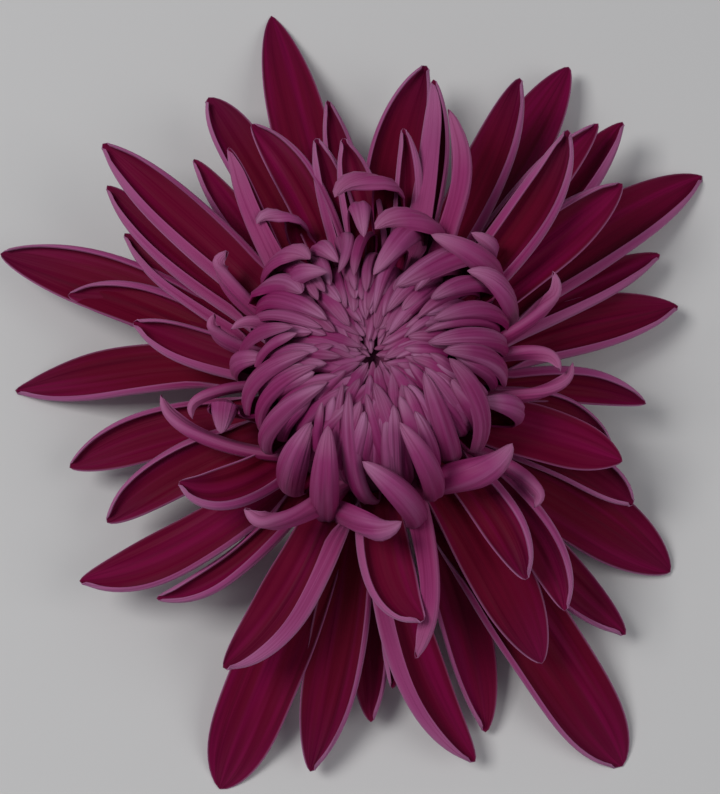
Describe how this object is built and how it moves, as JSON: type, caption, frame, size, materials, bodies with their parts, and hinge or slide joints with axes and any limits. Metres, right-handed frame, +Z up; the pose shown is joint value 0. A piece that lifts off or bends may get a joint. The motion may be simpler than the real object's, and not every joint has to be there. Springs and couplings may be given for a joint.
{
  "type": "chrysanthemum bloom",
  "caption": "Large chrysanthemum bloom with spreading straps round an incurved centre, picked with a short stem stub and lying face up.",
  "frame": {"origin": "middle of the bloom's footprint, on the surface that it lies on", "axes": "+Z up along the bloom's axis, out of its face; +Y toward the top of the picture"},
  "size_m": [0.1254, 0.1404, 0.0442],
  "materials": {
    "petals": "satin petal, deep crimson above and mauve behind",
    "calyx": "matt green bracts",
    "stem": "matt ribbed green stem"
  },
  "bodies": {
    "root": {"petals": "petals", "calyx": "calyx", "stem": "stem"}
  },
  "joints": []
}
